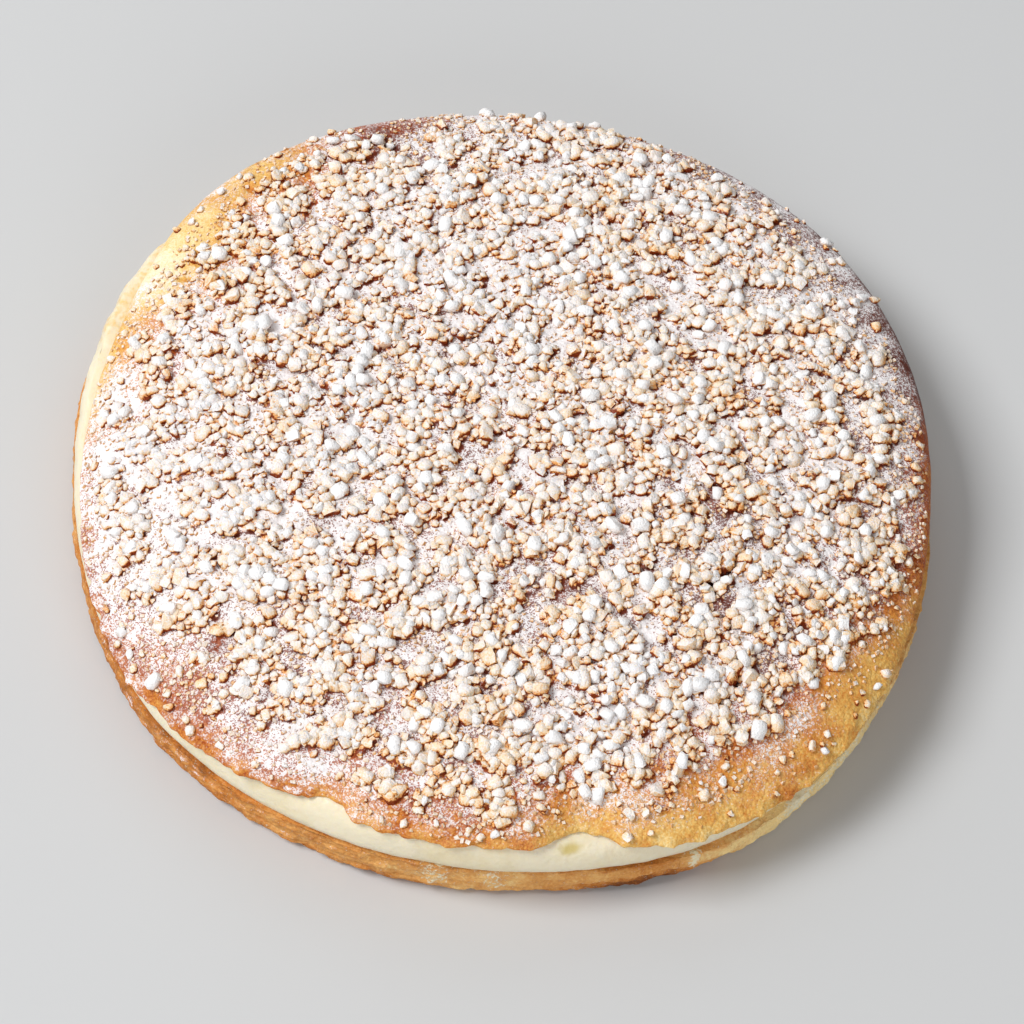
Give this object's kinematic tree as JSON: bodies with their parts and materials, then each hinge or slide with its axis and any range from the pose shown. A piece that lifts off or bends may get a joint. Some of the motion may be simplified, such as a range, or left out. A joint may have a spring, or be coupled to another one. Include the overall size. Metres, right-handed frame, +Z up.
{
  "type": "tarte tropezienne",
  "caption": "Whole round brioche tart, split across and filled with cream, its low domed lid covered in pearl sugar. It rests on its flat underside.",
  "frame": {"origin": "middle of the flat underside", "axes": "+Z up through the layers; the side where most cream shows faces -Y"},
  "size_m": [0.2448, 0.2426, 0.0485],
  "materials": {
    "base_crust": "matt baked crust, golden to brown",
    "cream": "smooth pale yellow cream, slightly glossy",
    "lid_crust": "matt baked crust under beige and white pearl sugar"
  },
  "bodies": {
    "root": {"brioche_base": "base_crust", "cream_filling": "cream", "brioche_lid": "lid_crust"}
  },
  "joints": []
}
